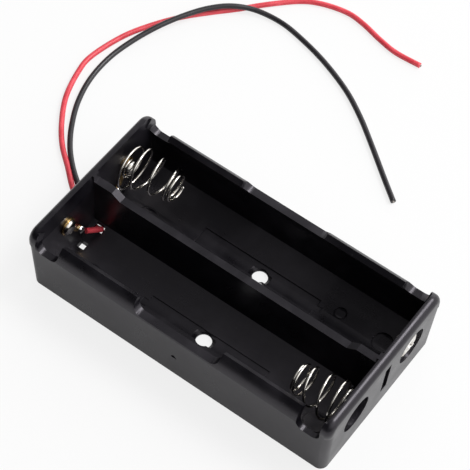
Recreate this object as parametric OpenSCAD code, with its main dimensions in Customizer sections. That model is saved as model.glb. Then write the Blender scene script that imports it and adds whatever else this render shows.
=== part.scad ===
// Two-bay holder for cylindrical cells, with spring and rivet contacts and a pair of flying leads.
// X runs along the cells, Y across the two bays, Z up. The origin is the centre of the flat underside.

/* [Housing] */
// Length over the end walls
body_l = 77.3; // [76:0.1:90]
// Thickness of the side walls beside the cells' middles, at the shoulders
side_t = 1.3; // [1.1:0.1:2.5]
// Height of the end walls
body_h = 18; // [17.5:0.1:20]
// How far each side wall leans in from the shoulders to the underside
side_draft = 0.6; // [0.1:0.1:0.7]
// How far each end wall leans in from the shoulders to the underside
end_draft = 0.6; // [0.1:0.1:0.7]
// Radius of the shoulders, seen from the end
shoulder_r = 3; // [2.2:0.1:5.4]
// Rounding of the end walls' outer edges, over the top, round the shoulders and down the corners
rim_r = 1.6; // [0.5:0.1:1.8]
// Thickness of the end walls behind the contacts
wall_t = 2.4; // [2:0.1:3]
// Thickness of the end walls at their tops
wall_top_t = 1.9; // [1.5:0.1:2]
// Thickness of the floor under the middle of a cell
floor_t = 1.2; // [1:0.1:1.6]
// Rise of the hollowed floor from its middle to the walls
floor_rise = 1.5; // [0.8:0.1:2.2]

/* [Bays] */
// Diameter of the cell that a bay takes
cell_d = 18.3; // [18:0.1:18.6]
// Room round a cell
cell_room = 0.1; // [0.05:0.05:0.15]
// Thickness of the partition between the cells
partition_t = 1.8; // [1.4:0.1:2.5]
// Height of the partition along the cells
partition_h = 14.8; // [13:0.1:15.5]
// Height of the partition beside the end walls
partition_end_h = 16.3; // [15.5:0.1:17]
// Length of the raised stretch at each end of the partition
partition_end_l = 7; // [5:0.1:9]
// Angle above the cell's axis at which the lips end
lip_angle = 38.5; // [30:0.5:45]
// Gap between an end wall and the lips
gap_l = 5.7; // [5:0.1:8]
// Height of the side wall in the gap beside the positive rivet
positive_gap_h = 13.1; // [11.5:0.1:14.5]
// Height of the side wall in the gap beside the negative spring
negative_gap_h = 13.1; // [11.5:0.1:14.5]
// Height of the side wall in the gap beside the link spring
link_spring_gap_h = 11.7; // [11.5:0.1:14.5]
// Height of the side wall in the gap beside the link rivet
link_rivet_gap_h = 14; // [11.5:0.1:14.5]
// Length of the finger notch between the lips
notch_l = 21.8; // [14:0.2:30]
// Height of the side walls in the finger notch
notch_h = 14.1; // [13:0.1:15]
// Radius of the notch's and the gaps' lower corners
scoop_r = 2.1; // [1:0.1:2.4]

/* [Openings] */
// Diameter of the two mounting holes
mount_d = 3.6; // [3:0.1:4]
// Diameter of their countersinks at the floor
mount_sink_d = 5.4; // [4.5:0.1:6.5]
// Place of the mounting holes along the holder
mount_x = 0.45; // [-5:0.05:5]
// Diameter of the round recesses in the end walls
recess_d = 8.5; // [7:0.1:9.5]
// Depth of the recesses and of the slots
recess_depth = 1.1; // [0.6:0.1:1.1]
// Width of the upright slot between the recesses
slot_w = 1; // [0.6:0.1:1.6]
// Height of that slot
slot_h = 8.5; // [5:0.1:10]
// Length of the square wire holes along the holder
wire_hole_l = 2.4; // [2.2:0.1:2.8]
// Width of the square wire holes
wire_hole_w = 1.8; // [1.6:0.1:1.9]
// Distance of the inner wire holes from the middle
wire_hole_y = 2; // [1.9:0.05:2.2]
// Side of the outer square holes
outer_hole = 1.8; // [1.2:0.1:2.2]
// Distance of the outer square holes from the middle
outer_hole_y = 7.3; // [6.5:0.1:8.5]

/* [Contacts] */
// Height of the rivets and of the cells' axes
axis_h = 10.4; // [10.3:0.05:10.6]
// Diameter of the rivets' shanks
shank_d = 2.4; // [2:0.1:2.6]
// Diameter of the domed heads
head_d = 3.7; // [3.4:0.1:4.4]
// Height of the domed heads
head_h = 1.1; // [0.8:0.1:1.8]
// Diameter of the flared tails
tail_d = 6.2; // [5:0.1:6.8]
// Height of the flared tails
tail_h = 0.7; // [0.4:0.1:0.8]
// Thickness of the brass solder tabs
tab_t = 0.4; // [0.3:0.05:0.5]
// Reach of a solder tab from its rivet
tab_reach = 6; // [5:0.1:7]
// Width of a solder tab's arm
tab_w = 1.8; // [1.4:0.1:2.4]
// Thickness of the plated link strip
link_t = 0.4; // [0.3:0.05:0.5]
// Height of the link strip
link_h = 5.6; // [5:0.1:7]

/* [Springs] */
// Diameter of the spring wire
wire_d = 0.7; // [0.6:0.05:0.8]
// Radius of the widest turn
spring_base_r = 5.7; // [5:0.1:6]
// Radius of the last turn, at the free end
spring_tip_r = 3.8; // [3:0.1:4.8]
// Free length of a spring from the wall
spring_l = 12.9; // [11.5:0.1:13.5]

/* [Leads] */
// Diameter over the insulation
lead_d = 1.3; // [1.1:0.05:1.4]
// Diameter of the bare strands
core_d = 0.6; // [0.4:0.05:0.7]
// Radius of a solder joint
solder_r = 0.9; // [0.8:0.05:1]

/* [Marks] */
// Depth of the moulded marks in the floors
mark_depth = 0.15; // [0.1:0.05:0.3]
// Width of the lines of the cell outline
mark_w = 0.35; // [0.25:0.05:0.5]
// Length of the cell outline
mark_l = 31; // [25:0.5:34]
// Width of the cell outline
mark_h = 4.8; // [3.5:0.1:6]

/* [Hidden] */

eps = 0.02;           // overshoot of a cut past the face that it opens
seat = 0.03;          // clearance between a seated piece and its seat
bay_r = cell_d / 2 + cell_room;
bay_y = bay_r + partition_t / 2;       // from the middle to a bay's axis
body_w = 2 * (bay_y + bay_r + side_t); // width over the side walls
half_l = body_l / 2;
half_w = body_w / 2;
inner_l = half_l - wall_t;             // from the middle to the inner face of an end wall
shoulder_y = half_w - shoulder_r;      // centre of a shoulder
shoulder_z = body_h - shoulder_r;
floor_r = (bay_r * bay_r + floor_rise * floor_rise) / (2 * floor_rise);
channel_w = 2 * wire_hole_y + wire_hole_w;
channel_h = lead_d + 0.3;
wire_stack = wire_d + 2 * seat;         // height of a spring's eye under a rivet's head
tab_angle = -52;      // direction of a solder tab, down towards the partition
wire_hole_x = -inner_l + 1 + wire_hole_l / 2;
outer_hole_x = -inner_l + 0.8 + outer_hole / 2;
slot_y = 0.5;         // place of the upright slot across an end wall
slot_z = axis_h - 0.5;
lean_h = 14;          // height above which an end wall's inner face leans back
spring_turns = 5.9;   // turns of a spring, its eye among them
eye_room = 0.2;       // clearance round the rivet in a spring's eye
step_l = 2.2;         // length of the slope at each end of the low stretch of the partition

// Rings left by the ejector pins: place along and across, diameter
ejector_rings = [[31, 12.2, 5], [19.8, 12.8, 3], [-28.3, 7.5, 5], [30.6, -12.2, 5.4], [-28.8, -12, 5]];

// Routes of the leads from the solder joints to their bare ends
red_route = [
    [-34.8, -5.7, 4.7], [-34.2, -4.6, 4.2], [-33.6, -3.4, 3.6], [-33.4, -2.4, 2.7], [-33.9, -1.9, 1.7],
    [-35.1, -1.6, 0.9], [-36.6, -1.4, 0.7], [-38.5, -1.2, 0.7], [-41.9, 0.7, 0.7], [-46.4, 3.8, 0.7],
    [-50.6, 7.4, 0.7], [-55.2, 11.2, 0.7], [-59.3, 16, 0.7], [-63.3, 22.5, 0.7], [-65.7, 30, 0.7],
    [-66.2, 35.6, 0.7], [-64.2, 44.5, 0.7], [-61, 51.5, 0.7], [-56.9, 58, 0.7], [-52.3, 63.5, 0.7],
    [-48, 68.2, 0.7], [-43.3, 73.8, 0.7], [-37.8, 79.4, 0.7], [-33.1, 82.1, 0.7], [-26.9, 83.6, 0.7],
    [-21.9, 83.1, 0.7], [-15.9, 81.5, 0.7], [-10.8, 80.6, 0.7], [-4.3, 80.9, 0.7]
];
black_route = [
    [-34.8, 5.7, 4.7], [-34.2, 4.6, 4.2], [-33.6, 3.4, 3.6], [-33.4, 2.4, 2.7], [-33.9, 1.9, 1.7],
    [-35.1, 1.6, 0.9], [-36.6, 1.4, 0.7], [-38.5, 1.2, 0.7], [-41.9, 2.6, 0.7], [-46.5, 5.6, 0.7],
    [-50.3, 8.6, 0.7], [-53.8, 12.2, 0.7], [-57.1, 16.9, 0.7], [-60.2, 23, 0.7], [-62.2, 30, 0.7],
    [-62.6, 37.5, 0.8], [-61.3, 44.4, 1.3], [-58.9, 51.3, 2], [-55.9, 57.8, 2.3], [-52.8, 63, 2.3],
    [-48.9, 67.1, 2.2], [-44.1, 70.2, 1.3], [-37.4, 71.3, 0.7], [-30.4, 70.1, 0.7], [-22.3, 67.7, 0.7],
    [-13.8, 64, 0.7], [-6.8, 59.6, 0.7], [0.1, 54.3, 0.7], [6.7, 49, 0.7], [12.3, 44.6, 0.7]
];

function unit(v) = v / norm(v);
function heading(path, i) = unit(path[min(i + 1, len(path) - 1)] - path[max(i - 1, 0)]);
function across(v) = unit(cross(v, abs(v.z) < 0.9 ? [0, 0, 1] : [1, 0, 0]));

// Round rod of radius r along a path, with flat ends
module rod(path, r, sides) {
    last = len(path) - 1;
    points = [
        for (i = [0 : last])
            let (h = heading(path, i), u = across(h), v = cross(h, u))
                for (k = [0 : sides - 1])
                    path[i] + r * (cos(360 * k / sides) * u + sin(360 * k / sides) * v)
    ];
    walls = [
        for (i = [0 : last - 1], k = [0 : sides - 1])
            [i * sides + k, i * sides + (k + 1) % sides, (i + 1) * sides + (k + 1) % sides, (i + 1) * sides + k]
    ];
    near = [for (k = [0 : sides - 1]) sides - 1 - k];
    far = [for (k = [0 : sides - 1]) last * sides + k];
    polyhedron(points = points, faces = concat(walls, [near], [far]), convexity = 10);
}

// Lays a profile drawn in Y and Z along X, from x0 to x1
module along_x(x0, x1) {
    translate([x0, 0, 0]) rotate([90, 0, 90]) linear_extrude(x1 - x0) children();
}

// Lays a profile drawn in X and Z across the whole width
module along_y(y0, y1) {
    translate([0, y1, 0]) rotate([90, 0, 0]) linear_extrude(y1 - y0) children();
}

// Rectangle with its four corners rounded
module plate(l, w, r) {
    square([l - 2 * r, w], center = true);
    square([l, w - 2 * r], center = true);
    for (x = [-1, 1], y = [-1, 1]) translate([x * (l / 2 - r), y * (w / 2 - r)]) circle(r, $fn = 64);
}

// Part below the shoulders: rounded upright corners, all four sides leaning in towards the underside
module lower_block() {
    foot_y = half_w - side_draft;
    foot_x = half_l - end_draft;
    intersection() {
        linear_extrude(shoulder_z) plate(body_l, body_w, rim_r);
        along_x(-half_l, half_l)
            polygon([[-foot_y, 0], [foot_y, 0], [half_w, shoulder_z], [-half_w, shoulder_z]]);
        along_y(-half_w, half_w)
            polygon([[-foot_x, 0], [foot_x, 0], [half_l, shoulder_z], [-half_l, shoulder_z]]);
    }
}

// Part above the shoulders' centres: a rounded plate laid across, and turned a quarter at each shoulder
module upper_block() {
    along_y(-shoulder_y, shoulder_y) intersection() {
        translate([0, shoulder_z]) plate(body_l, 2 * shoulder_r, rim_r);
        translate([-half_l, shoulder_z]) square([body_l, shoulder_r]);
    }
    for (s = [0, 1]) mirror([0, s, 0]) translate([0, shoulder_y, shoulder_z]) rotate([0, 90, 0])
        rotate([0, 0, 90]) rotate_extrude(angle = 90, $fn = 96) intersection() {
            rotate(90) plate(body_l, 2 * shoulder_r, rim_r);
            translate([0, -half_l]) square([shoulder_r, body_l]);
        }
}

module outer_block() {
    lower_block();
    upper_block();
}

// Section of one bay: hollowed floor, straight walls, and lips that follow the cell on the outer side
module bay_section(side) {
    reach = body_w;
    translate([side * bay_y, 0]) {
        intersection() {
            translate([0, floor_t + floor_r]) circle(floor_r, $fn = 256);
            translate([-bay_r, 0]) square([2 * bay_r, axis_h]);
        }
        translate([0, axis_h]) {
            circle(bay_r, $fn = 128);
            mirror([side < 0 ? 1 : 0, 0]) {
                translate([-bay_r, 0]) square([bay_r, body_h]);
                polygon([[0, 0], reach * [cos(lip_angle), sin(lip_angle)], [0, reach]]);
            }
        }
    }
}

// Space of both bays between the end walls, whose inner faces lean back near the top
module bays() {
    top = 2 * body_h;
    lean_top = half_l - wall_top_t;
    intersection() {
        along_x(-half_l, half_l) {
            bay_section(-1);
            bay_section(1);
        }
        along_y(-body_w, body_w) polygon([
            [-inner_l, 0], [inner_l, 0], [inner_l, lean_h], [lean_top, body_h], [lean_top, top],
            [-lean_top, top], [-lean_top, body_h], [-inner_l, lean_h]
        ]);
    }
}

// Notch from x0 to x1, open at the top, with rounded lower corners
module scoop(x0, x1, bottom) {
    translate([x0, bottom + scoop_r]) square([x1 - x0, body_h]);
    translate([x0 + scoop_r, bottom]) square([x1 - x0 - 2 * scoop_r, body_h]);
    for (x = [x0 + scoop_r, x1 - scoop_r]) translate([x, bottom + scoop_r]) circle(scoop_r, $fn = 48);
}

// Gaps beside the end walls and the finger notch of one side wall
module wall_cuts(left_h, right_h) {
    scoop(-inner_l, -inner_l + gap_l, left_h);
    scoop(inner_l - gap_l, inner_l, right_h);
    scoop(-notch_l / 2, notch_l / 2, notch_h);
}

// Everything above the partition, which stands higher beside the end walls
module partition_cut() {
    top = 2 * body_h;
    low_l = inner_l - partition_end_l;
    polygon([[-inner_l, partition_end_h], [-low_l - step_l, partition_end_h], [-low_l, partition_h],
             [low_l, partition_h], [low_l + step_l, partition_end_h], [inner_l, partition_end_h],
             [inner_l, top], [-inner_l, top]]);
}

// Slot that takes the link strip through the partition
module link_slot() {
    slot_t = link_t + 2 * seat;
    slot_high = link_h + 2 * seat;
    translate([inner_l - slot_t, -bay_y / 2, axis_h - slot_high / 2]) cube([slot_t, bay_y, slot_high]);
}

// Mounting hole with its countersink, open from the underside to the bay
module mounting_hole() {
    sink_h = (mount_sink_d - mount_d) / 2;
    translate([0, 0, -eps]) cylinder(d = mount_d, h = floor_t + 1, $fn = 48);
    translate([0, 0, floor_t - sink_h + eps]) cylinder(d1 = mount_d, d2 = mount_sink_d, h = sink_h, $fn = 48);
}

// Round recess, shank hole and slot, cut into the outside of an end wall
module end_openings(side) {
    face = side * half_l;
    inward = side > 0 ? -1 : 1;
    for (y = [-bay_y, bay_y]) translate([face, y, axis_h]) rotate([0, 90 * inward, 0]) {
        translate([0, 0, -eps]) cylinder(d = recess_d, h = recess_depth + eps, $fn = 96);
        if (side < 0 || y > 0) cylinder(d = shank_d + 2 * seat, h = 2 * wall_t, $fn = 48);
    }
    translate([face - recess_depth, slot_y - slot_w / 2, slot_z - slot_h / 2])
        cube([2 * recess_depth, slot_w, slot_h]);
}

// Wire holes in the floor and the channel that leads under the left end wall
module wire_ways() {
    for (s = [-1, 1]) {
        translate([wire_hole_x - wire_hole_l / 2, s * wire_hole_y - wire_hole_w / 2, -eps])
            cube([wire_hole_l, wire_hole_w, axis_h / 2]);
        translate([outer_hole_x - outer_hole / 2, s * outer_hole_y - outer_hole / 2, -eps])
            cube([outer_hole, outer_hole, floor_t + floor_rise]);
    }
    translate([-half_l - eps, -channel_w / 2, -eps])
        cube([wire_hole_x + wire_hole_l / 2 + half_l, channel_w, channel_h + eps]);
}

// Outline of a cell, with the nub of its positive end towards +X
module cell_mark() {
    nub_l = 1.3;
    nub_h = 2;
    difference() {
        union() {
            square([mark_l, mark_h], center = true);
            translate([mark_l / 2, -nub_h / 2]) square([nub_l, nub_h]);
        }
        square([mark_l - 2 * mark_w, mark_h - 2 * mark_w], center = true);
        translate([mark_l / 2 - 2 * mark_w, mark_w - nub_h / 2]) square([nub_l + mark_w, nub_h - 2 * mark_w]);
    }
}

// Marks in the floors: a cell outline in each bay and the rings left by the ejector pins
module floor_marks() {
    translate([0, 0, floor_t - mark_depth]) linear_extrude(1) {
        translate([-0.7, bay_y + 0.4]) cell_mark();
        translate([0.8, -bay_y - 0.4]) rotate(180) cell_mark();
        for (p = ejector_rings)
            translate([p.x, p.y]) difference() {
                circle(d = p.z, $fn = 48);
                circle(d = p.z - 2 * mark_w, $fn = 48);
            }
    }
}

// Small three-cornered dimple in the front wall
module front_dimple() {
    dimple_r = 0.9;
    dimple_z = 7;
    dimple_depth = 0.2;
    face_y = half_w - side_draft * (1 - dimple_z / shoulder_z);
    translate([0, dimple_depth - face_y, dimple_z]) rotate([90, -90, 0]) cylinder(r = dimple_r, h = 1, $fn = 3);
}

module housing() {
    color("#26262a") difference() {
        outer_block();
        bays();
        along_y(-body_w, -bay_y) wall_cuts(positive_gap_h, link_spring_gap_h);
        along_y(bay_y, body_w) wall_cuts(negative_gap_h, link_rivet_gap_h);
        along_y(-bay_y / 2, bay_y / 2) partition_cut();
        link_slot();
        for (s = [-1, 1]) translate([mount_x, s * bay_y, 0]) mounting_hole();
        end_openings(-1);
        end_openings(1);
        wire_ways();
        floor_marks();
        front_dimple();
    }
}

// Domed rivet whose shank passes through an end wall; the head is under_head off the wall's inner face
module rivet(side, y, under_head) {
    skin = wall_t - recess_depth;
    dome_r = (head_d * head_d / 4 + head_h * head_h) / (2 * head_h);
    bore_d = 1.2;
    translate([side * inner_l, y, axis_h]) rotate([0, -90 * side, 0]) {
        difference() {
            union() {
                translate([0, 0, under_head]) intersection() {
                    translate([0, 0, head_h - dome_r]) sphere(dome_r, $fn = 48);
                    cylinder(d = head_d, h = head_h, $fn = 48);
                }
                translate([0, 0, -skin - seat - tail_h / 2])
                    cylinder(d = shank_d, h = skin + seat + tail_h / 2 + under_head + eps, $fn = 48);
                translate([0, 0, -skin - seat - tail_h])
                    cylinder(d1 = shank_d, d2 = tail_d, h = tail_h, $fn = 48);
            }
            translate([0, 0, -skin - tail_h - 1]) cylinder(d = bore_d, h = tail_h + 1.2, $fn = 32);
        }
    }
}

module positive_rivet() { color("#c9c6bf") rivet(-1, -bay_y, tab_t + 2 * seat); }
module negative_rivet() { color("#c9c6bf") rivet(-1, bay_y, tab_t + 2 * seat + wire_stack); }
module link_rivet() { color("#c9c6bf") rivet(1, bay_y, link_t + 2 * seat); }

// Brass ring under a rivet's head with an arm that slants down towards the partition
module solder_tab(y) {
    ring_d = head_d + 0.6;
    translate([seat - inner_l, y, axis_h]) rotate([90, 0, 90]) linear_extrude(tab_t) difference() {
        union() {
            circle(d = ring_d, $fn = 48);
            rotate(y < 0 ? tab_angle : 180 - tab_angle) {
                translate([0, -tab_w / 2]) square([tab_reach - tab_w / 2, tab_w]);
                translate([tab_reach - tab_w / 2, 0]) circle(d = tab_w, $fn = 32);
            }
        }
        circle(d = shank_d + 2 * seat, $fn = 48);
    }
}

module positive_tab() { color("#b08a3e") solder_tab(-bay_y); }
module negative_tab() { color("#b08a3e") solder_tab(bay_y); }

// Solder joint on the end of a tab, cut flat where the lead's insulation begins
module solder(y) {
    side = y < 0 ? -1 : 1;
    route = side < 0 ? red_route : black_route;
    start = route[0];
    h = heading(route, 0);
    face = seat + tab_t - inner_l;
    difference() {
        translate([face, start.y + side * 0.7, start.z + 0.7]) intersection() {
            sphere(solder_r, $fn = 32);
            translate([0, -2, -2]) cube(4);
        }
        translate(start) multmatrix([
            [h.x, across(h).x, cross(h, across(h)).x, 0],
            [h.y, across(h).y, cross(h, across(h)).y, 0],
            [h.z, across(h).z, cross(h, across(h)).z, 0]
        ]) translate([-seat, -2, -2]) cube(4);
    }
}

module positive_solder() { color("#b9bcc0") solder(-bay_y); }
module negative_solder() { color("#b9bcc0") solder(bay_y); }

// Radius of a contact spring after t turns; its eye goes round the rivet before it widens
function spring_radius(t) = let (eye_r = (shank_d + wire_d) / 2 + eye_room)
    lookup(t, [[0.5, eye_r], [1.2, spring_base_r], [2.8, spring_base_r - 0.3], [4.6, spring_tip_r + 0.2],
               [spring_turns, spring_tip_r]]);

// Distance from the wall after t turns; the turns stand aslant, by slant at their tops and bottoms
function spring_offset(t, seat_x) =
    let (rise = spring_l - wire_d / 2 - seat_x,
         share = lookup(t, [[0.6, 0], [1.3, 0.06], [1.7, 0.1], [2.3, 0.23], [4.3, 0.86], [5.3, 0.96],
                            [spring_turns, 1]]),
         slant = lookup(t, [[1.3, 0], [2.3, 0.5], [4.3, 0.5], [5.6, 0]]))
        seat_x + rise * share + slant * sin(360 * t);

// Centre line of a spring whose eye lies seat_x off the wall
function spring_path(seat_x) = [
    for (i = [-7 : 20 * spring_turns])
        let (t = i / 20, r = spring_radius(t))
            [spring_offset(t, seat_x), r * cos(360 * t), r * sin(360 * t)]
];

// Spring that stands off an end wall's inner face by the thickness under it, and reaches into the bay
module contact_spring(side, y, under) {
    translate([side * inner_l, y, axis_h]) rotate(side > 0 ? 180 : 0)
        rod(spring_path(under + wire_d / 2), wire_d / 2, 8);
}

module negative_spring() { color("#d8d4cc") contact_spring(-1, bay_y, tab_t + 2 * seat); }
module link_spring() { color("#d8d4cc") contact_spring(1, -bay_y, link_t + 2 * seat); }

// Plated strip that joins the two bays along the right end wall, through a slot in the partition
module link_strip() {
    color("#c4c1ba") translate([inner_l - seat - link_t, 0, axis_h]) rotate([90, 0, 90])
        linear_extrude(link_t) difference() {
            union() {
                square([2 * bay_y, link_h], center = true);
                for (y = [-bay_y, bay_y]) translate([y, 0]) circle(d = link_h, $fn = 48);
            }
            for (y = [-bay_y, bay_y]) translate([y, 0]) circle(d = shank_d + 2 * seat, $fn = 48);
        }
}

// Tubular lug that clamps the link spring's eye to the strip
module link_lug() {
    stack = link_t + wire_stack + 2 * seat;
    head_t = 0.4;
    color("#c9c6bf") translate([inner_l - seat, -bay_y, axis_h]) rotate([0, -90, 0]) difference() {
        union() {
            cylinder(d = shank_d, h = stack + head_t, $fn = 48);
            translate([0, 0, stack]) cylinder(d = head_d - 0.4, h = head_t, $fn = 48);
        }
        translate([0, 0, -eps]) cylinder(d = shank_d - 0.9, h = stack + 1, $fn = 48);
    }
}

module red_lead() { color("#e03a46") rod(red_route, lead_d / 2, 8); }
module black_lead() { color("#2b2b2d") rod(black_route, lead_d / 2, 8); }

// Bare strands that show at the cut end of a lead
module core(route) {
    last = len(route) - 1;
    h = unit(route[last] - route[last - 1]);
    rod([route[last] + seat * h, route[last] + (seat + 0.3) * h], core_d / 2, 8);
}

module red_core() { color("#c98a5a") core(red_route); }
module black_core() { color("#c98a5a") core(black_route); }

housing();
positive_rivet();
positive_tab();
positive_solder();
negative_rivet();
negative_tab();
negative_solder();
negative_spring();
link_strip();
link_spring();
link_rivet();
link_lug();
red_lead();
black_lead();
red_core();
black_core();
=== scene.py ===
import math
import bmesh
import bpy
import numpy as np
from mathutils import Euler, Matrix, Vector


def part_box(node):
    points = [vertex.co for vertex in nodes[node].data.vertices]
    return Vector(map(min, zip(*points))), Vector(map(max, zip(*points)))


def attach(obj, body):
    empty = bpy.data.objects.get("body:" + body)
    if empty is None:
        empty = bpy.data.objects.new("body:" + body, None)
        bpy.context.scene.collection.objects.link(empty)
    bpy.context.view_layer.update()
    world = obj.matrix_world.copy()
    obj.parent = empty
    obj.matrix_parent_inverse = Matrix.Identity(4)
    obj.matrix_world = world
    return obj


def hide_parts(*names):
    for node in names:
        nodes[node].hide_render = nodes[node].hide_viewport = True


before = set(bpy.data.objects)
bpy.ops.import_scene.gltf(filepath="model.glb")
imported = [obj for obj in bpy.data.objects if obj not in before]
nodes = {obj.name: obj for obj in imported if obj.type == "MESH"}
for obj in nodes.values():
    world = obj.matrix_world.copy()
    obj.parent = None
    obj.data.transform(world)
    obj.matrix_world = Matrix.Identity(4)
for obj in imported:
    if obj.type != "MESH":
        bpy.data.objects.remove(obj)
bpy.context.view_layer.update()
print("frame loaded:", len(nodes), "nodes")

cameraSettings = {
    "place": (0.12095, -0.1922, 0.3624),
    "turn": (34.096, -2.684, 36.217),     # degrees
    "lens": 152.75,
}


def makeCamera(settings):
    data = bpy.data.cameras.new("camera")
    data.lens = settings["lens"]
    data.sensor_width = 36
    data.clip_start, data.clip_end = 0.01, 20
    camera = bpy.data.objects.new("camera", data)
    camera.location = settings["place"]
    camera.rotation_euler = Euler([math.radians(a) for a in settings["turn"]], "XYZ")
    bpy.context.collection.objects.link(camera)
    bpy.context.scene.camera = camera


makeCamera(cameraSettings)
print("camera ready")


# a new object in the scene; with a node it also becomes that node's visible piece
def placePiece(name, mesh, node=None):
    piece = bpy.data.objects.new(name, mesh)
    bpy.context.collection.objects.link(piece)
    if node:
        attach(piece, "root")
        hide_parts(node)
    return piece


def shadeSmooth(mesh, smoothCount=None):
    shading = np.zeros(len(mesh.polygons), bool)
    shading[:smoothCount] = True
    mesh.polygons.foreach_set("use_smooth", shading)


def turnFacesOutward(mesh):
    shape = bmesh.new()
    shape.from_mesh(mesh)
    bmesh.ops.recalc_face_normals(shape, faces=shape.faces)
    shape.to_mesh(mesh)
    shape.free()


# routes in millimetres, from the solder joints to the cut ends
leadSettings = {
    "diameter": 0.0013,
    "sides": 24,
    "steps": 8,          # points to each stretch of a route
    "exit": {"red": (-0.0385, -0.0012, 0.0007), "black": (-0.0385, 0.0012, 0.0007)},
    "red": [
        (-34.8, -5.7, 4.7), (-34.2, -4.6, 4.2), (-33.6, -3.4, 3.6), (-33.4, -2.4, 2.7), (-33.9, -1.9, 1.7),
        (-35.1, -1.6, 0.9), (-36.6, -1.4, 0.7), (-38.5, -1.2, 0.7), (-41.9, 0.7, 0.7), (-46.4, 3.8, 0.7),
        (-50.6, 7.4, 0.7), (-55.2, 11.2, 0.7), (-59.3, 16, 0.7), (-63.3, 22.5, 0.7), (-65.7, 30, 0.7),
        (-66.2, 35.6, 0.7), (-64.2, 44.5, 0.7), (-61, 51.5, 0.7), (-56.9, 58, 0.7), (-52.3, 63.5, 0.7),
        (-48, 68.2, 0.7), (-43.3, 73.8, 0.7), (-37.8, 79.4, 0.7), (-33.1, 82.1, 0.7), (-26.9, 83.6, 0.7),
        (-21.9, 83.1, 0.7), (-15.9, 81.5, 0.7), (-10.8, 80.6, 0.7), (-4.3, 80.9, 0.7),
    ],
    "black": [
        (-34.8, 5.7, 4.7), (-34.2, 4.6, 4.2), (-33.6, 3.4, 3.6), (-33.4, 2.4, 2.7), (-33.9, 1.9, 1.7),
        (-35.1, 1.6, 0.9), (-36.6, 1.4, 0.7), (-38.5, 1.2, 0.7), (-41.9, 2.6, 0.7), (-46.5, 5.6, 0.7),
        (-50.3, 8.6, 0.7), (-53.8, 12.2, 0.7), (-57.1, 16.9, 0.7), (-60.2, 23, 0.7), (-62.2, 30, 0.7),
        (-62.6, 37.5, 0.8), (-61.3, 44.4, 1.3), (-58.9, 51.3, 2), (-55.9, 57.8, 2.3), (-52.8, 63, 2.3),
        (-48.9, 67.1, 2.2), (-44.1, 70.2, 1.3), (-37.4, 71.3, 0.7), (-30.4, 70.1, 0.7), (-22.3, 67.7, 0.7),
        (-13.8, 64, 0.7), (-6.8, 59.6, 0.7), (0.1, 54.3, 0.7), (6.7, 49, 0.7), (12.3, 44.6, 0.7),
    ],
}


# between two points b and c with neighbours a and d, half of
# 2b + (c - a)t + (2a - 5b + 4c - d)t^2 + (3b - 3c + d - a)t^3, in metres
def smoothRoute(route, steps):
    p = np.array(route, float) / 1000
    a = np.vstack([p[:1], p[:-2]])[:, None]
    b, c = p[:-1][:, None], p[1:][:, None]
    d = np.vstack([p[2:], p[-1:]])[:, None]
    t = (np.arange(steps) / steps)[None, :, None]
    curve = 2 * b + (c - a) * t + (2 * a - 5 * b + 4 * c - d) * t**2 + (3 * b - 3 * c + d - a) * t**3
    return np.vstack([0.5 * curve.reshape(-1, 3), p[-1:]])


# circle carried along a path: point + radius * (cos(v) * side + sin(v) * up), where side is square to the
# heading and to one fixed direction; the two ends are closed by fans
def tubeSurface(path, radius, sides, fixed=(0, 0, 1)):
    heading = np.gradient(path, axis=0)
    heading /= np.linalg.norm(heading, axis=1)[:, None]
    side = np.cross(heading, np.array(fixed, float))
    side /= np.linalg.norm(side, axis=1)[:, None]
    up = np.cross(heading, side)
    v = np.linspace(0, 2 * np.pi, sides, endpoint=False)
    around = np.stack([np.cos(v), np.sin(v)], -1)
    spokes = around[None, :, :1] * side[:, None] + around[None, :, 1:] * up[:, None]
    rings = path[:, None] + radius * spokes
    verts = np.vstack([rings.reshape(-1, 3), path[:1], path[-1:]])
    count = len(path)
    i, k = np.meshgrid(np.arange(count - 1), np.arange(sides), indexing="ij")
    start, following = i * sides + k, i * sides + (k + 1) % sides
    walls = np.stack([start, following, following + sides, start + sides], -1)
    ring = np.arange(sides)
    nextOne = (ring + 1) % sides
    nearFan = np.stack([np.full(sides, count * sides), nextOne, ring], -1)
    farStart = (count - 1) * sides
    farFan = np.stack([np.full(sides, count * sides + 1), farStart + ring, farStart + nextOne], -1)
    length = np.concatenate([[0], np.cumsum(np.linalg.norm(np.diff(path, axis=0), axis=1))]) * 1000
    flow = np.concatenate([np.tile(around, (count, 1)), np.repeat(length, sides)[:, None]], 1)
    flow = np.vstack([flow, [0, 0, 0], [0, 0, length[-1]]])
    return verts, walls.reshape(-1, 4), np.vstack([nearFan, farFan]), flow


# one mesh from several surfaces; flow is (cosine, sine, millimetres along) for patterns that follow the piece
def buildPiece(name, surfaces, node):
    verts, smoothFaces, flatFaces, flow = [], [], [], []
    offset = 0
    for points, walls, caps, stream in surfaces:
        verts.append(points)
        flow.append(stream)
        smoothFaces += (walls + offset).tolist()
        flatFaces += (caps + offset).tolist()
        offset += len(points)
    mesh = bpy.data.meshes.new(name)
    mesh.from_pydata(np.vstack(verts).tolist(), [], smoothFaces + flatFaces)
    shadeSmooth(mesh, len(smoothFaces))
    attribute = mesh.attributes.new("flow", "FLOAT_VECTOR", "POINT")
    attribute.data.foreach_set("vector", np.vstack(flow).astype(np.float32).ravel())
    mesh.update()
    return placePiece(name, mesh, node)


def pathLength(path):
    return float(np.linalg.norm(np.diff(path, axis=0), axis=1).sum())


leads = {}
for colour in ("red", "black"):
    path = smoothRoute(leadSettings[colour], leadSettings["steps"])
    surface = tubeSurface(path, leadSettings["diameter"] / 2, leadSettings["sides"])
    lead = buildPiece(colour + "Lead", [surface], colour + "_lead")
    leads[colour] = (lead, path)
    print(colour, "lead:", round(pathLength(path) * 1000, 1), "mm")

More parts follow.
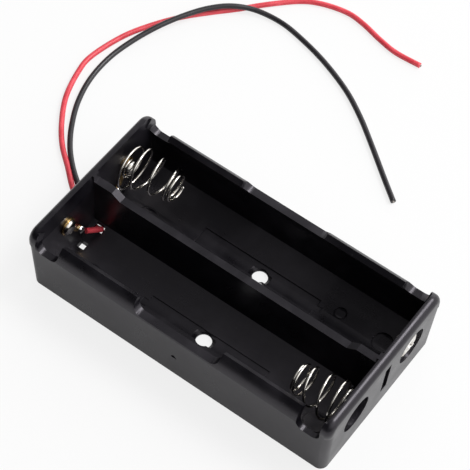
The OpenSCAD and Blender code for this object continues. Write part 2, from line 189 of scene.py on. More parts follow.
strandSettings = {
    "radius": 0.00009,
    "ring": 0.00019,       # from the middle strand to the six round it
    "inside": 0.001,
    "proud": 0.00025,
    "twist": 0.9,          # turns of the six in the length that is made
    "sides": 10,
    "points": 12,
}


# a straight middle strand, and six that wind round it: middle + ring * (cos(a) * side + sin(a) * up)
def makeStrands(name, node, path, settings):
    heading = path[-1] - path[-2]
    heading /= np.linalg.norm(heading)
    side = np.cross(heading, (0, 0, 1.0))
    side /= np.linalg.norm(side)
    up = np.cross(heading, side)
    s = np.linspace(-settings["inside"], settings["proud"], settings["points"])
    middle = path[-1] + s[:, None] * heading
    surfaces = [tubeSurface(middle, settings["radius"], settings["sides"])]
    for k in range(6):
        a = 2 * np.pi * (k / 6 + settings["twist"] * (s - s[0]) / (s[-1] - s[0]))
        wound = middle + settings["ring"] * (np.cos(a)[:, None] * side + np.sin(a)[:, None] * up)
        surfaces.append(tubeSurface(wound, settings["radius"], settings["sides"]))
    return buildPiece(name, surfaces, node)


strandPieces = {}
for colour, (lead, path) in leads.items():
    strandPieces[colour] = makeStrands(colour + "Strands", colour + "_core", path, strandSettings)
print("leads ready")

# millimetres; the wire turns once round its rivet before it widens, and then narrows to the free end
springSettings = {
    "wire": 0.6,
    "turns": 5.9,
    "radii": ([0.5, 1.2, 2.3, 3.3, 4.3, 5.3, 5.9], [1.75, 5.5, 4.9, 4.2, 3.6, 3.2, 3]),
    "shares": ([0.6, 1.3, 1.7, 2.3, 4.3, 5.3, 5.9], [0, 0.06, 0.1, 0.23, 0.88, 0.97, 1]),
    "slants": ([1.3, 2.3, 4.3, 5.6], [0, 0.5, 0.5, 0]),
    "tail": 0.35,              # turns of the wire's start, beyond its first full turn
    "seat": 0.46,              # from the end wall to the wire, the tab or strip under it included
    "sides": 16,
    "pointsPerTurn": 48,
    # phase in turns, free length, and how far the axis drifts across and up at shares of that length
    "rear": {"phase": 0, "freeLength": 13.2,
             "drift": {"shares": [0, 0.25, 0.6, 1], "across": [0, 0.7, 1.1, 1.4], "up": [0, 1, 1, 0.7]}},
    "front": {"phase": 0.45, "freeLength": 12.4,
              "drift": {"shares": [0, 1], "across": [0, 0], "up": [0, -0.2]}},
}


# after t turns, at the angle a, the wire is at distance(t) from the wall, on a circle of radius(t) about the
# cell's axis: (distance, radius * cos(a), radius * sin(a)); the turns stand aslant, by slant * sin(a), and
# the free end drifts off the axis
def springPath(settings, wall, axisY, axisZ, into, phase, freeLength, drift):
    count = int((settings["turns"] + settings["tail"]) * settings["pointsPerTurn"])
    t = np.linspace(-settings["tail"], settings["turns"], count)
    seatOffset = settings["seat"] + settings["wire"] / 2
    rise = freeLength - settings["wire"] / 2 - seatOffset
    share = softened(np.interp(t, *settings["shares"]))
    radius = softened(np.interp(t, *settings["radii"]))
    a = 2 * np.pi * (t + phase)
    distance = seatOffset + rise * share + np.interp(t, *settings["slants"]) * np.sin(a)
    turn = into * radius * np.cos(a) + np.interp(share, drift["shares"], drift["across"])
    height = radius * np.sin(a) + np.interp(share, drift["shares"], drift["up"])
    return np.stack([wall + into * distance / 1000, axisY + turn / 1000, axisZ + height / 1000], -1)


# running mean over a fifth of a turn, which rounds the corners that straight interpolation leaves
def softened(values, width=9):
    padded = np.pad(values, width // 2, mode="edge")
    return np.convolve(padded, np.ones(width) / width, mode="valid")


# held is the node of the rivet or lug that clamps the spring's first turn
def makeSpring(place, node, held, wall, into, settings):
    low, high = (Vector(corner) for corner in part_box(held))
    middle = (low + high) / 2
    path = springPath(settings, wall, middle.y, middle.z, into, **settings[place])
    surface = tubeSurface(path, settings["wire"] / 2000, settings["sides"], (1, 0, 0))
    return buildPiece(place + "Spring", [surface], node)


wallGap = 0.00003          # between an end wall and the tab or strip on it
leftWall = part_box("positive_tab")[0][0] - wallGap
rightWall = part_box("link_strip")[1][0] + wallGap
springs = [
    makeSpring("rear", "negative_spring", "negative_rivet", leftWall, 1, springSettings),
    makeSpring("front", "link_spring", "link_lug", rightWall, -1, springSettings),
]
print("springs ready")

solderSettings = {
    "radius": 0.00095,
    "height": 0.0009,
    "lump": 0.1,           # share of the radius
    "around": 40,
    "upward": 16,
}


# low dome on a tab: height * sin(v)^0.8 off the tab and radius * cos(v) * (cos(u), sin(u)) along it, swollen
# by three waves
def solderSurface(node, settings, seed):
    low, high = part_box(node)
    middle = ((low[1] + high[1]) / 2, (low[2] + high[2]) / 2)
    across, upward = settings["around"], settings["upward"]
    u = np.linspace(0, 2 * np.pi, across, endpoint=False)[:, None]
    v = np.linspace(0, np.pi / 2, upward)[None, :-1]
    swell = 1 + settings["lump"] * (np.sin(3 * u + seed) * np.cos(v) + 0.6 * np.sin(2 * u - 2 * seed + 3 * v)
                                    + 0.4 * np.cos(5 * u + 4 * v))
    x = low[0] + settings["height"] * np.sin(v) ** 0.8 * (1 + 0.5 * (swell - 1)) + 0 * u
    y = middle[0] + settings["radius"] * swell * np.cos(v) * np.cos(u)
    z = middle[1] + settings["radius"] * swell * np.cos(v) * np.sin(u)
    grid = np.stack([x, y, z], -1).reshape(-1, 3)
    top = [[low[0] + settings["height"], middle[0], middle[1]]]
    bottom = [[low[0], middle[0], middle[1]]]
    points = np.vstack([grid, top, bottom])
    rows = upward - 1
    i, k = np.meshgrid(np.arange(across), np.arange(rows - 1), indexing="ij")
    nextI = (i + 1) % across
    start, following = i * rows + k, nextI * rows + k
    walls = np.stack([start, following, following + 1, start + 1], -1).reshape(-1, 4)
    ring = np.arange(across)
    nextRing = (ring + 1) % across
    crown = np.stack([(ring + 1) * rows - 1, (nextRing + 1) * rows - 1, np.full(across, len(points) - 2)], -1)
    base = np.stack([nextRing * rows, ring * rows, np.full(across, len(points) - 1)], -1)
    walls = np.vstack([walls, np.stack([crown[:, 0], crown[:, 1], crown[:, 2], crown[:, 2]], -1)])
    walls = [list(dict.fromkeys(face)) for face in walls.tolist()]
    return points, walls, base


def makeSolder(name, node, settings, seed):
    points, walls, base = solderSurface(node, settings, seed)
    mesh = bpy.data.meshes.new(name)
    mesh.from_pydata(points.tolist(), [], walls + base.tolist())
    shadeSmooth(mesh, len(walls))
    mesh.update()
    return placePiece(name, mesh, node)


solders = [
    makeSolder("frontSolder", "positive_solder", solderSettings, 0.7),
    makeSolder("rearSolder", "negative_solder", solderSettings, 2.9),
]
print("solder joints ready")

# width of the rounded edge, and the sharpest angle that stays smooth
edgeSettings = {
    "housing": {"width": 0.00012, "segments": 2, "angle": 32},
    "metal": {"width": 0.00005, "segments": 2, "angle": 32},
}


# a node's own shape with its loose triangles joined and its flat faces made whole
def joinedMesh(name, node):
    mesh = nodes[node].data.copy()
    mesh.name = name
    shape = bmesh.new()
    shape.from_mesh(mesh)
    bmesh.ops.remove_doubles(shape, verts=shape.verts, dist=2e-6)
    bmesh.ops.dissolve_limit(shape, angle_limit=math.radians(0.4), verts=shape.verts, edges=shape.edges)
    shape.to_mesh(mesh)
    shape.free()
    return mesh


# smooth faces between sharp edges, and every sharp edge slightly rounded
def softEdged(name, node, settings, mesh=None):
    mesh = mesh or joinedMesh(name, node)
    shadeSmooth(mesh)
    mesh.set_sharp_from_angle(angle=math.radians(settings["angle"]))
    piece = placePiece(name, mesh, node)
    bevel = piece.modifiers.new("roundedEdges", "BEVEL")
    bevel.width = settings["width"]
    bevel.segments = settings["segments"]
    bevel.limit_method = "ANGLE"
    bevel.angle_limit = math.radians(settings["angle"])
    bevel.use_clamp_overlap = True
    even = piece.modifiers.new("evenShading", "WEIGHTED_NORMAL")
    even.keep_sharp = True
    return piece


# millimetres: the lips' outer shoulders are rounder than the end walls', the four upright corners stay round
# down to the foot, and in the right end wall the slot is wider and deeper and the empty recess deeper
roundingSettings = {
    "lipRadius": 5.2,
    "lipReach": 36.2,      # either side of the middle
    "cornerRadius": 1.9,
    "height": 18,
    "shoulder": 15,        # height at which the walls stop leaning
    "lean": 0.6,
    "slot": {"floor": 36.9, "across": (-0.3, 1.8), "up": (5.6, 14.4)},
    "recess": {"middle": (-10.15, 10.4), "radius": 4.25, "floor": 36.7},
    "beyond": 40,          # past the end wall's outside
}


# what lies outside a quarter circle of one radius in a square corner at (u, v), as a closed outline
def cornerOutline(u, v, radius, beyond=1.5, steps=24):
    a = np.linspace(0, np.pi / 2, steps)
    arc = np.stack([u - radius + radius * np.cos(a), v - radius + radius * np.sin(a)], -1)
    outside = [[u - radius, v + beyond], [u + beyond, v + beyond], [u + beyond, v - radius]]
    return np.vstack([arc, outside])


# closed solid between two outlines with as many points each
def loftedSolid(first, second):
    count = len(first)
    k = np.arange(count)
    following = (k + 1) % count
    walls = np.stack([k, following, following + count, k + count], -1).tolist()
    return np.vstack([first, second]), walls + [k[::-1].tolist(), (k + count).tolist()]


def roundingSolids(settings, halfLength, halfWidth):
    solids = []
    for side in (-1, 1):
        outline = cornerOutline(halfWidth, settings["height"], settings["lipRadius"])
        reach = settings["lipReach"]
        ends = [np.insert(outline * (side, 1), 0, x, axis=1) for x in (-reach, reach)]
        solids.append(loftedSolid(*ends))
        for end in (-1, 1):
            rings = []
            for z in (-1, settings["shoulder"] - 1):
                inset = settings["lean"] * (1 - z / settings["shoulder"])
                outline = cornerOutline(halfLength - inset, halfWidth - inset, settings["cornerRadius"])
                rings.append(np.insert(outline * (end, side), 2, z, axis=1))
            solids.append(loftedSolid(*rings))
    slot, recess = settings["slot"], settings["recess"]
    (y0, y1), (z0, z1) = slot["across"], slot["up"]
    square = np.array([[y0, z0], [y1, z0], [y1, z1], [y0, z1]])
    a = np.linspace(0, 2 * np.pi, 64, endpoint=False)
    circle = np.stack([recess["middle"][0] + recess["radius"] * np.cos(a),
                       recess["middle"][1] + recess["radius"] * np.sin(a)], -1)
    for outline, floor in ((square, slot["floor"]), (circle, recess["floor"])):
        solids.append(loftedSolid(*[np.insert(outline, 0, x, axis=1) for x in (floor, settings["beyond"])]))
    return solids


def makeHousing(settings):
    low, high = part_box("housing")
    body = placePiece("body", joinedMesh("holderBody", "housing"))
    points, faces = [], []
    for verts, polygons in roundingSolids(settings, high[0] * 1000, high[1] * 1000):
        faces += [[index + len(points) for index in polygon] for polygon in polygons]
        points += (verts / 1000).tolist()
    cutMesh = bpy.data.meshes.new("roundings")
    cutMesh.from_pydata(points, [], faces)
    turnFacesOutward(cutMesh)
    cutter = placePiece("roundings", cutMesh)
    cut = body.modifiers.new("cut", "BOOLEAN")
    cut.operation = "DIFFERENCE"
    cut.solver = "EXACT"
    cut.object = cutter
    shaped = bpy.data.meshes.new_from_object(body.evaluated_get(bpy.context.evaluated_depsgraph_get()))
    shaped.name = "holderBody"
    for item in (body, cutter):
        bpy.data.objects.remove(item)
    return softEdged("holderBody", "housing", edgeSettings["housing"], shaped)


housing = makeHousing(roundingSettings)
print("housing ready:", len(housing.data.polygons), "faces")

# millimetres: a flared tail in the wall's outer recess, its rim split in uneven petals, and a domed head
# inside the bay with a shallow ring pressed in it
rivetSettings = {
    "shank": 1.2,
    "bore": 0.75,
    "boreDepth": 0.9,
    "tail": 3.05,
    "tailDepth": 0.68,
    "petals": 7,
    "split": 0.3,
    "waviness": (0.3, 0.35),       # of the rim along the axis: its own, and that of the splits
    "head": 1.85,
    "headHeight": 1.1,
    "ring": {"depth": 0.05, "angle": 0.95, "width": 0.12},
    "headRows": 12,
    "around": 96,
}


# profile of (distance along the axis, radius) swept about the axis; the tail's radius is multiplied by
# 1 - split * |sin(petals * v / 2 + sway(v))|^6, and the head is height * sin(a) and radius * cos(a)^0.8
def makeRivet(name, node, side, settings):
    low, high = (np.array(corner) * 1000 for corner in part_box(node))
    axisY, axisZ = (low[1] + high[1]) / 2, (low[2] + high[2]) / 2
    outer, inner = (high[0], low[0]) if side > 0 else (low[0], high[0])
    length = abs(outer - inner)
    shank, tail, head, bore = (settings[key] for key in ("shank", "tail", "head", "bore"))
    boreDepth, tailDepth, headHeight = (settings[key] for key in ("boreDepth", "tailDepth", "headHeight"))
    ring = settings["ring"]
    profile = [(boreDepth, 0), (boreDepth, bore), (0.25, bore), (0.06, bore + 0.15), (0, bore + 0.45),
               (0.03, tail * 0.62), (0.2, tail * 0.86), (0.42, tail * 0.98), (0.56, tail),
               (0.66, tail * 0.985), (tailDepth, tail * 0.9), (tailDepth, shank),
               (length - headHeight, shank), (length - headHeight, head * 0.97)]
    for a in np.linspace(0.1, np.pi / 2, settings["headRows"]):
        dent = -ring["depth"] * np.exp(-((a - ring["angle"]) / ring["width"]) ** 2)
        profile.append((length - headHeight * (1 - np.sin(a)) + dent, head * np.cos(a) ** 0.8))
    profile = np.array(profile)
    v = np.linspace(0, 2 * np.pi, settings["around"], endpoint=False)[:, None]
    flared = np.zeros(len(profile))
    flared[4:11] = [0.15, 0.5, 0.85, 1, 1, 1, 0.8]      # share of the splits that each row of the tail takes
    rimWave, splitWave = settings["waviness"]
    wave = np.abs(np.sin(settings["petals"] * v / 2 + 0.35 * np.sin(v + 0.7))) ** 6
    radius = profile[:, 1] * (1 - settings["split"] * wave * flared + 0.05 * np.sin(2 * v + 1) * flared)
    along = profile[:, 0] + rimWave * flared * (0.5 + 0.5 * np.sin(3 * v + 0.4)) + splitWave * wave * flared
    along = np.where(flared > 0, np.clip(along, 0, tailDepth), along)
    x = outer - side * along
    points = np.stack([x, axisY + radius * np.cos(v), axisZ + radius * np.sin(v)], -1)[:, 1:-1].reshape(-1, 3)
    rows = len(profile) - 2
    ends = [[outer - side * profile[0, 0], axisY, axisZ], [inner, axisY, axisZ]]
    points = np.vstack([points, ends]) / 1000
    k = np.arange(settings["around"])
    following = (k + 1) % settings["around"]
    faces = []
    for row in range(rows - 1):
        faces += np.stack([k * rows + row, following * rows + row, following * rows + row + 1,
                           k * rows + row + 1], -1).tolist()
    last = len(points) - 1
    pairs = list(zip(k.tolist(), following.tolist()))
    faces += [[last - 1, b * rows, a * rows] for a, b in pairs]
    faces += [[(a + 1) * rows - 1, (b + 1) * rows - 1, last] for a, b in pairs]
    mesh = bpy.data.meshes.new(name)
    mesh.from_pydata(points.tolist(), [], faces)
    turnFacesOutward(mesh)
    shadeSmooth(mesh)
    mesh.set_sharp_from_angle(angle=math.radians(50))
    return placePiece(name, mesh, node)


rivets = {
    "positive_rivet": makeRivet("positiveRivet", "positive_rivet", -1, rivetSettings),
    "negative_rivet": makeRivet("negativeRivet", "negative_rivet", -1, rivetSettings),
    "link_rivet": makeRivet("linkRivet", "link_rivet", 1, rivetSettings),
}
metalSlots = {
    "link_strip": "contact_metal", "link_lug": "contact_metal",
    "positive_tab": "tab_brass", "negative_tab": "tab_brass",
}
metalPieces = {}
for node, slot in metalSlots.items():
    first, second = node.split("_")
    metalPieces[node] = softEdged(first + second.capitalize(), node, edgeSettings["metal"])
metalPieces.update(rivets)
print("housing and contacts ready")


def addNode(tree, kind, **settings):
    node = tree.nodes.new("ShaderNode" + kind)
    for key, value in settings.items():
        setattr(node, key, value)
    return node


# source is an output of another node, or a plain value
def connect(tree, source, target):
    if hasattr(source, "is_output"):
        tree.links.new(source, target)
    else:
        target.default_value = source


def noise(tree, vector, scale, detail=3, rough=0.5):
    node = addNode(tree, "TexNoise")
    connect(tree, scale, node.inputs["Scale"])
    node.inputs["Detail"].default_value = detail
    node.inputs["Roughness"].default_value = rough
    connect(tree, vector, node.inputs["Vector"])
    return node.outputs["Fac"]


# value moved from the first pair of limits to the second, and kept inside it
def remap(tree, value, fromLow, fromHigh, toLow, toHigh):
    node = addNode(tree, "MapRange")
    connect(tree, value, node.inputs["Value"])
    limits = (("From Min", fromLow), ("From Max", fromHigh), ("To Min", toLow), ("To Max", toHigh))
    for key, limit in limits:
        connect(tree, limit, node.inputs[key])
    return node.outputs["Result"]


def combine(tree, operation, first, second):
    node = addNode(tree, "Math", operation=operation)
    connect(tree, first, node.inputs[0])
    connect(tree, second, node.inputs[1])
    return node.outputs[0]


def stretch(tree, vector, scale):
    node = addNode(tree, "Mapping")
    node.inputs["Scale"].default_value = scale
    connect(tree, vector, node.inputs["Vector"])
    return node.outputs["Vector"]


def newGroup(name, inputs, outputs):
    group = bpy.data.node_groups.new(name, "ShaderNodeTree")
    for socketName, kind, value in inputs:
        socket = group.interface.new_socket(socketName, in_out="INPUT", socket_type="NodeSocket" + kind)
        if value is not None:
            socket.default_value = value
    for socketName, kind in outputs:
        group.interface.new_socket(socketName, in_out="OUTPUT", socket_type="NodeSocket" + kind)
    return group, group.nodes.new("NodeGroupInput"), group.nodes.new("NodeGroupOutput")


# fine moulded or rolled grain: a height, and a roughness that wanders slowly about its mean
def makeGrainGroup():
    group, source, result = newGroup("surfaceGrain", [
        ("Vector", "Vector", None), ("Size", "Float", 3000.0), ("Depth", "Float", 0.004),
        ("Roughness", "Float", 0.3), ("Wander", "Float", 0.06),
    ], [("Height", "Float"), ("Roughness", "Float")])
    fine = noise(group, source.outputs["Vector"], source.outputs["Size"], 4)
    broad = noise(group, source.outputs["Vector"], 160, 2)
    height = combine(group, "MULTIPLY", fine, source.outputs["Depth"])
    sway = combine(group, "MULTIPLY", remap(group, broad, 0.3, 0.7, -1, 1), source.outputs["Wander"])
    speckle = combine(group, "MULTIPLY", remap(group, fine, 0.3, 0.7, -0.5, 0.5),
                      source.outputs["Wander"])
    total = combine(group, "ADD", combine(group, "ADD", source.outputs["Roughness"], sway), speckle)
    connect(group, height, result.inputs["Height"])
    connect(group, total, result.inputs["Roughness"])
    return group


# scattered dust specks and faint hairline scuffs, each as a mask from 0 to 1
def makeDustGroup():
    group, source, result = newGroup("dustAndScuffs", [
        ("Vector", "Vector", None), ("Dust", "Float", 0.5), ("Scuffs", "Float", 0.5),
    ], [("Dust", "Float"), ("Scuffs", "Float")])
    cells = addNode(group, "TexVoronoi", feature="F1")
    cells.inputs["Scale"].default_value = 420
    connect(group, source.outputs["Vector"], cells.inputs["Vector"])
    patches = remap(group, noise(group, source.outputs["Vector"], 120, 2), 0.55, 0.75, 0, 1)
    specks = remap(group, cells.outputs["Distance"], 0.05, 0.11, 1, 0)
    dust = combine(group, "MULTIPLY", combine(group, "MULTIPLY", specks, patches), source.outputs["Dust"])
    lines = noise(group, stretch(group, source.outputs["Vector"], (30, 2600, 2600)), 1, 2)
    drift = remap(group, noise(group, source.outputs["Vector"], 70, 1), 0.5, 0.7, 0, 1)
    scuffs = combine(group, "MULTIPLY", remap(group, lines, 0.66, 0.72, 0, 1), drift)
    connect(group, dust, result.inputs["Dust"])
    connect(group, combine(group, "MULTIPLY", scuffs, source.outputs["Scuffs"]), result.inputs["Scuffs"])
    return group


grainGroup = makeGrainGroup()
dustGroup = makeDustGroup()


def useGroup(tree, group, **values):
    node = addNode(tree, "Group")
    node.node_tree = group
    for key, value in values.items():
        connect(tree, value, node.inputs[key.capitalize()])
    return node


def blendColours(tree, share, first, second):
    node = addNode(tree, "Mix", data_type="RGBA")
    connect(tree, share, node.inputs["Factor"])
    for value, socket in ((first, node.inputs[6]), (second, node.inputs[7])):
        connect(tree, (*value, 1) if isinstance(value, tuple) else value, socket)
    return node.outputs[2]


def startMaterial(name):
    material = bpy.data.materials.new(name)
    material.use_nodes = True
    tree = material.node_tree
    shader = tree.nodes["Principled BSDF"]
    place = addNode(tree, "TexCoord").outputs["Object"]
    return material, tree, shader, place


def addBump(tree, shader, height, distance):
    bump = addNode(tree, "Bump")
    bump.inputs["Distance"].default_value = distance
    bump.inputs["Strength"].default_value = 1
    connect(tree, height, bump.inputs["Height"])
    connect(tree, bump.outputs["Normal"], shader.inputs["Normal"])


plasticSettings = {
    "colour": (0.0035, 0.0031, 0.0048),
    # the paler colour is painted sheen, laid in random clouds
    "paintedSheenColour": (0.0165, 0.0152, 0.0188),
    "specularTint": (0.96, 0.91, 1, 1),
    "dustColour": (0.11, 0.11, 0.12),
    "roughness": 0.3,
    "wander": 0.03,
    "grainSize": 2600,
    "grainDepth": 0.0000035,
    "dust": 0.45,
    "scuffs": 0.3,
    "scuffRoughness": 0.12,
    "cloudSize": 75,
    "cloudRoughness": 0.05,
    # the slot and the round recesses of the end walls
    "cavity": {
        "roughness": 0.34, "grainSize": 1500, "grainDepth": 0.00002,
        "depth": 0.0364,                                               # from the middle of the holder
        "slotMiddle": (0.00075, 0.01), "slotHalf": (0.00107, 0.00442),     # across and up
        "recessMiddle": (0.01015, 0.0104), "recessRadius": 0.00427,
    },
}


# 1 inside the slot and the round recesses of the end walls, by place alone: beyond the depth, and either
# inside the slot's rectangle or with (|y| - across)^2 + (z - up)^2 < radius^2
def cavityMask(tree, place, settings):
    split = addNode(tree, "SeparateXYZ")
    connect(tree, place, split.inputs[0])
    x, y, z = split.outputs
    away = combine(tree, "GREATER_THAN", combine(tree, "ABSOLUTE", x, 0), settings["depth"])
    inSlot = []
    for value, middle, half in zip((y, z), settings["slotMiddle"], settings["slotHalf"]):
        distance = combine(tree, "ABSOLUTE", combine(tree, "SUBTRACT", value, middle), 0)
        inSlot.append(combine(tree, "LESS_THAN", distance, half))
    slot = combine(tree, "MULTIPLY", *inSlot)
    across, up = settings["recessMiddle"]
    beside = combine(tree, "SUBTRACT", combine(tree, "ABSOLUTE", y, 0), across)
    above = combine(tree, "SUBTRACT", z, up)
    squares = combine(tree, "ADD", combine(tree, "POWER", beside, 2), combine(tree, "POWER", above, 2))
    recess = combine(tree, "LESS_THAN", squares, settings["recessRadius"]**2)
    return combine(tree, "MULTIPLY", combine(tree, "MAXIMUM", slot, recess), away)


# black moulded plastic: fine grain, soft paler clouds of painted sheen (laid at random, and a little rougher
# too), a little dust, faint scuffs, and rougher cavities
def makeBlackPlastic(settings):
    material, tree, shader, place = startMaterial("blackPlastic")
    grain = useGroup(tree, grainGroup, vector=place, size=settings["grainSize"], depth=1,
                     roughness=settings["roughness"], wander=settings["wander"])
    dust = useGroup(tree, dustGroup, vector=place, dust=settings["dust"], scuffs=settings["scuffs"])
    cloud = remap(tree, noise(tree, place, settings["cloudSize"], 4, 0.6), 0.48, 0.7, 0, 1)
    cavity = cavityMask(tree, place, settings["cavity"])
    # paler clouds of base colour: painted sheen, laid at random over the plastic
    base = blendColours(tree, cloud, settings["colour"], settings["paintedSheenColour"])
    marked = blendColours(tree, dust.outputs["Dust"], base, settings["dustColour"])
    connect(tree, marked, shader.inputs["Base Color"])
    rough = combine(tree, "ADD", grain.outputs["Roughness"],
                    combine(tree, "MULTIPLY", dust.outputs["Scuffs"], settings["scuffRoughness"]))
    rough = combine(tree, "ADD", rough, combine(tree, "MULTIPLY", cloud, settings["cloudRoughness"]))
    inCavity = combine(tree, "MULTIPLY", cavity, settings["cavity"]["roughness"])
    connect(tree, combine(tree, "MAXIMUM", rough, inCavity), shader.inputs["Roughness"])
    shader.inputs["Specular Tint"].default_value = settings["specularTint"]
    coarse = combine(tree, "MULTIPLY", noise(tree, place, settings["cavity"]["grainSize"], 3, 0.6), cavity)
    coarse = combine(tree, "MULTIPLY", coarse, settings["cavity"]["grainDepth"] / settings["grainDepth"])
    addBump(tree, shader, combine(tree, "ADD", grain.outputs["Height"], coarse), settings["grainDepth"])
    return material


metalFinish = {
    "grainSize": 5200,
    "grainDepth": 0.000003,
    "dust": 0.2,
    "scuffs": 0.8,
    "scuffRoughness": 0.2,
    "tarnishSize": 900,
}
metalSettings = {
    "nickel": {
        "colour": (0.88, 0.86, 0.82), "stain": (0.4, 0.33, 0.25), "roughness": 0.17, "wander": 0.1,
    },
    "springSteel": {
        "colour": (0.86, 0.83, 0.78), "stain": (0.55, 0.49, 0.42), "roughness": 0.14, "wander": 0.06,
    },
    "brass": {
        "colour": (0.62, 0.42, 0.17), "stain": (0.3, 0.17, 0.07), "roughness": 0.26, "wander": 0.12,
    },
    "solder": {
        "colour": (0.74, 0.74, 0.74), "stain": (0.4, 0.39, 0.38), "roughness": 0.24, "wander": 0.14,
    },
    "tinned": {
        "colour": (0.5, 0.47, 0.44), "stain": (0.26, 0.22, 0.19), "roughness": 0.34, "wander": 0.1,
    },
}


# plated or bare metal: a tarnish that gathers in clouds, fine rolled grain and hairline scuffs
def makeMetal(name, settings, finish):
    material, tree, shader, place = startMaterial(name)
    shader.inputs["Metallic"].default_value = 1
    grain = useGroup(tree, grainGroup, vector=place, size=finish["grainSize"], depth=1,
                     roughness=settings["roughness"], wander=settings["wander"])
    dust = useGroup(tree, dustGroup, vector=place, dust=finish["dust"], scuffs=finish["scuffs"])
    cloud = remap(tree, noise(tree, place, finish["tarnishSize"], 4, 0.6), 0.5, 0.75, 0, 0.8)
    stained = blendColours(tree, cloud, settings["colour"], settings["stain"])
    connect(tree, stained, shader.inputs["Base Color"])
    rough = combine(tree, "ADD", grain.outputs["Roughness"],
                    combine(tree, "MULTIPLY", dust.outputs["Scuffs"], finish["scuffRoughness"]))
    connect(tree, rough, shader.inputs["Roughness"])
    addBump(tree, shader, grain.outputs["Height"], finish["grainDepth"])
    return material


insulationSettings = {
    "grainSize": 4200,
    "wander": 0.08,
    "reliefDepth": 0.000008,
    "red": {"colour": (0.93, 0.1, 0.13), "shade": (0.68, 0.035, 0.055), "roughness": 0.36},
    "black": {"colour": (0.026, 0.023, 0.027), "shade": (0.015, 0.013, 0.016), "roughness": 0.33},
}


# extruded insulation: streaks that run along the lead, darker patches and a fine grain
def makeInsulation(colour, finish):
    settings = finish[colour]
    material, tree, shader, place = startMaterial(colour + "Insulation")
    flow = addNode(tree, "Attribute", attribute_name="flow").outputs["Vector"]
    streaks = noise(tree, stretch(tree, flow, (2.2, 2.2, 0.05)), 2.4, 3)
    patches = noise(tree, stretch(tree, flow, (0.4, 0.4, 0.35)), 1, 3)
    share = remap(tree, combine(tree, "ADD", streaks, patches), 0.8, 1.25, 0, 1)
    shaded = blendColours(tree, share, settings["colour"], settings["shade"])
    connect(tree, shaded, shader.inputs["Base Color"])
    grain = useGroup(tree, grainGroup, vector=place, size=finish["grainSize"], depth=1,
                     roughness=settings["roughness"], wander=finish["wander"])
    connect(tree, grain.outputs["Roughness"], shader.inputs["Roughness"])
    height = combine(tree, "ADD", combine(tree, "MULTIPLY", streaks, 2), grain.outputs["Height"])
    addBump(tree, shader, height, finish["reliefDepth"])
    return material


def dress(piece, material):
    piece.data.materials.clear()
    piece.data.materials.append(material)


dress(housing, makeBlackPlastic(plasticSettings))
metals = {name: makeMetal(name, settings, metalFinish) for name, settings in metalSettings.items()}
for node, piece in metalPieces.items():
    dress(piece, metals["brass" if "tab" in node else "nickel"])
for piece in springs:
    dress(piece, metals["springSteel"])
for piece in solders:
    dress(piece, metals["solder"])
for colour in ("red", "black"):
    dress(strandPieces[colour], metals["tinned"])
    dress(leads[colour][0], makeInsulation(colour, insulationSettings))
print("materials ready")

stageSettings = {
    "floorColour": (0.9, 0.9, 0.9, 1),
    "floorHalf": 3,
    "floorGlow": 0.8,          # share of the floor's white that no shadow reaches
    "mirroredGlow": 0.3,       # the same, in reflections
    "sky": 0.05,
    # direction, cosines at which a glow starts and is full, strength
    "glows": [
        ((-0.3, 0.35, 0.85), 0.4, 1, 0.3),
        ((0.8, 0.6, 0.25), 0.35, 0.95, 1.1),
        ((-0.35, 0.88, 0.2), 0.75, 0.97, 1.4),
        ((0.6, -0.25, 0.75), 0.75, 0.97, 0.9),
    ],
    "lampPlace": (0.33, 0.415, 0.73),
    "lampSize": (0.36, 0.36),
    "lampPower": 4,
}


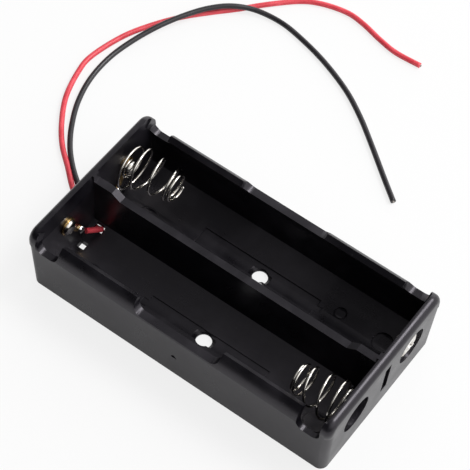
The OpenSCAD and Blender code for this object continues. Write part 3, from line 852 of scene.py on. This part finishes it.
# white to the camera and in reflections, with a soft shadow kept
def makeFloor(settings):
    mesh = bpy.data.meshes.new("floor")
    half = settings["floorHalf"]
    corners = [(-half, -half, 0), (half, -half, 0), (half, half, 0), (-half, half, 0)]
    mesh.from_pydata(corners, [], [(0, 1, 2, 3)])
    floor = placePiece("floor", mesh)
    material = bpy.data.materials.new("floorWhite")
    material.use_nodes = True
    tree = material.node_tree
    tree.nodes.clear()
    result = addNode(tree, "OutputMaterial")
    rays = addNode(tree, "LightPath")
    diffuse = addNode(tree, "BsdfDiffuse")
    diffuse.inputs["Color"].default_value = settings["floorColour"]
    glow = addNode(tree, "Emission")
    glow.inputs["Strength"].default_value = 1
    direct = combine(tree, "MULTIPLY", rays.outputs["Is Camera Ray"], settings["floorGlow"])
    mirrored = combine(tree, "MAXIMUM", rays.outputs["Is Glossy Ray"], rays.outputs["Is Transmission Ray"])
    mirrored = combine(tree, "MULTIPLY", mirrored, settings["mirroredGlow"])
    mix = addNode(tree, "MixShader")
    connect(tree, combine(tree, "MAXIMUM", direct, mirrored), mix.inputs[0])
    connect(tree, diffuse.outputs[0], mix.inputs[1])
    connect(tree, glow.outputs[0], mix.inputs[2])
    connect(tree, mix.outputs[0], result.inputs["Surface"])
    mesh.materials.append(material)


def makeLamp(name, settings):
    data = bpy.data.lights.new(name, "AREA")
    data.shape = "RECTANGLE"
    data.size, data.size_y = settings["lampSize"]
    data.energy = settings["lampPower"]
    lamp = bpy.data.objects.new(name, data)
    lamp.location = settings["lampPlace"]
    lamp.rotation_euler = (-Vector(settings["lampPlace"])).to_track_quat("-Z", "Y").to_euler()
    bpy.context.collection.objects.link(lamp)


# sky of one strength with soft glows added, each about one direction
def makeWorld(settings):
    world = bpy.data.worlds.new("studio")
    bpy.context.scene.world = world
    world.use_nodes = True
    tree = world.node_tree
    direction = addNode(tree, "TexCoord").outputs["Generated"]
    total = settings["sky"]
    for toward, start, full, strength in settings["glows"]:
        dot = addNode(tree, "VectorMath", operation="DOT_PRODUCT")
        connect(tree, direction, dot.inputs[0])
        dot.inputs[1].default_value = Vector(toward).normalized()
        glow = addNode(tree, "MapRange", interpolation_type="SMOOTHSTEP")
        connect(tree, dot.outputs["Value"], glow.inputs["Value"])
        for key, value in (("From Min", start), ("From Max", full), ("To Min", 0), ("To Max", strength)):
            glow.inputs[key].default_value = value
        total = combine(tree, "ADD", glow.outputs["Result"], total)
    background = tree.nodes["Background"]
    background.inputs["Color"].default_value = (1, 1, 1, 1)
    connect(tree, total, background.inputs["Strength"])


makeFloor(stageSettings)
makeLamp("topBox", stageSettings)
makeWorld(stageSettings)
bpy.context.scene.view_settings.view_transform = "Standard"
print("stage ready")
